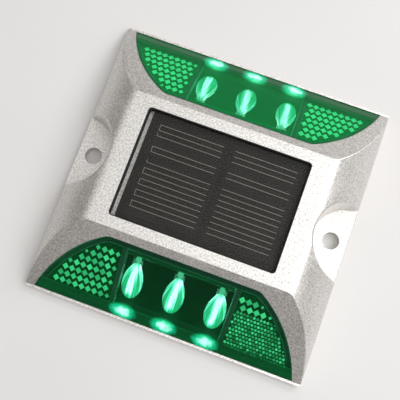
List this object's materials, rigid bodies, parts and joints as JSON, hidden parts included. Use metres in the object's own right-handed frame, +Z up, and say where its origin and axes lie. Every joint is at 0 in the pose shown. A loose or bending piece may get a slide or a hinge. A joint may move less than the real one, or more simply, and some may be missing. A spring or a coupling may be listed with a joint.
{
  "type": "raised pavement marker",
  "caption": "Solar-powered road stud: square cast housing with a flat-topped sloping body, a lit green lens on two opposite sides, a bolt ear on the other two and a solar panel on top.",
  "frame": {"origin": "middle of the underside, on the surface the marker is fixed to", "axes": "+Z up out of the road; +X along the lenses, from one bolt ear to the other; -Y the front lens side and +Y the rear lens side"},
  "size_m": [0.107, 0.107, 0.022],
  "materials": {
    "cast_aluminium": "die-cast, bead-blasted satin",
    "clear_plastic": "clear polycarbonate, glossy",
    "black_seal": "matt silicone",
    "panel_laminate": "dark laminate under clear resin",
    "silicon": "dark silicon cell with silver fingers",
    "green_lens": "green transparent polycarbonate, glossy",
    "green_reflector": "moulded prism retroreflector",
    "circuit_laminate": "green solder mask",
    "carrier_plastic": "dark moulded plastic",
    "led_body": "LED package",
    "lit_optic": "lit light guide",
    "moulded_black": "component mould compound",
    "ferrite": "ferrite",
    "copper": "enamelled copper winding",
    "capacitor_can": "aluminium can",
    "battery_steel": "nickel-plated steel",
    "battery_wrap": "heat-shrink sleeve",
    "cover_plastic": "moulded plastic",
    "plated_steel": "zinc-plated",
    "red_wire": "PVC insulation",
    "black_wire": "PVC insulation"
  },
  "bodies": {
    "root": {"housing": "cast_aluminium", "window_cover": "clear_plastic", "window_seal": "black_seal", "solar_panel": "panel_laminate", "solar_cell_left": "silicon", "solar_cell_right": "silicon", "circuit_board": "circuit_laminate", "controller_chip": "moulded_black", "inductor_core": "ferrite", "inductor_winding": "copper", "storage_capacitor": "capacitor_can", "blocking_diode": "moulded_black", "driver_transistors": "moulded_black", "board_screws": "plated_steel", "battery_cell": "battery_steel", "battery_sleeve": "battery_wrap", "battery_saddles": "cover_plastic", "battery_tab_positive": "battery_steel", "battery_tab_negative": "battery_steel", "battery_wire_positive": "red_wire", "battery_wire_negative": "black_wire", "panel_wire_positive": "red_wire", "panel_wire_negative": "black_wire", "bottom_cover": "cover_plastic", "cover_seal": "black_seal", "cover_screws": "plated_steel", "front_lens": "green_lens", "front_lens_seal": "black_seal", "front_left_reflector": "green_reflector", "front_right_reflector": "green_reflector", "front_led_board": "circuit_laminate", "front_lamp_carrier": "carrier_plastic", "front_lamp_wires": "black_wire", "front_led_left": "led_body", "front_optic_left": "lit_optic", "front_led_middle": "led_body", "front_optic_middle": "lit_optic", "front_led_right": "led_body", "front_optic_right": "lit_optic", "rear_lens": "green_lens", "rear_lens_seal": "black_seal", "rear_left_reflector": "green_reflector", "rear_right_reflector": "green_reflector", "rear_led_board": "circuit_laminate", "rear_lamp_carrier": "carrier_plastic", "rear_lamp_wires": "black_wire", "rear_led_left": "led_body", "rear_optic_left": "lit_optic", "rear_led_middle": "led_body", "rear_optic_middle": "lit_optic", "rear_led_right": "led_body", "rear_optic_right": "lit_optic"}
  },
  "joints": []
}
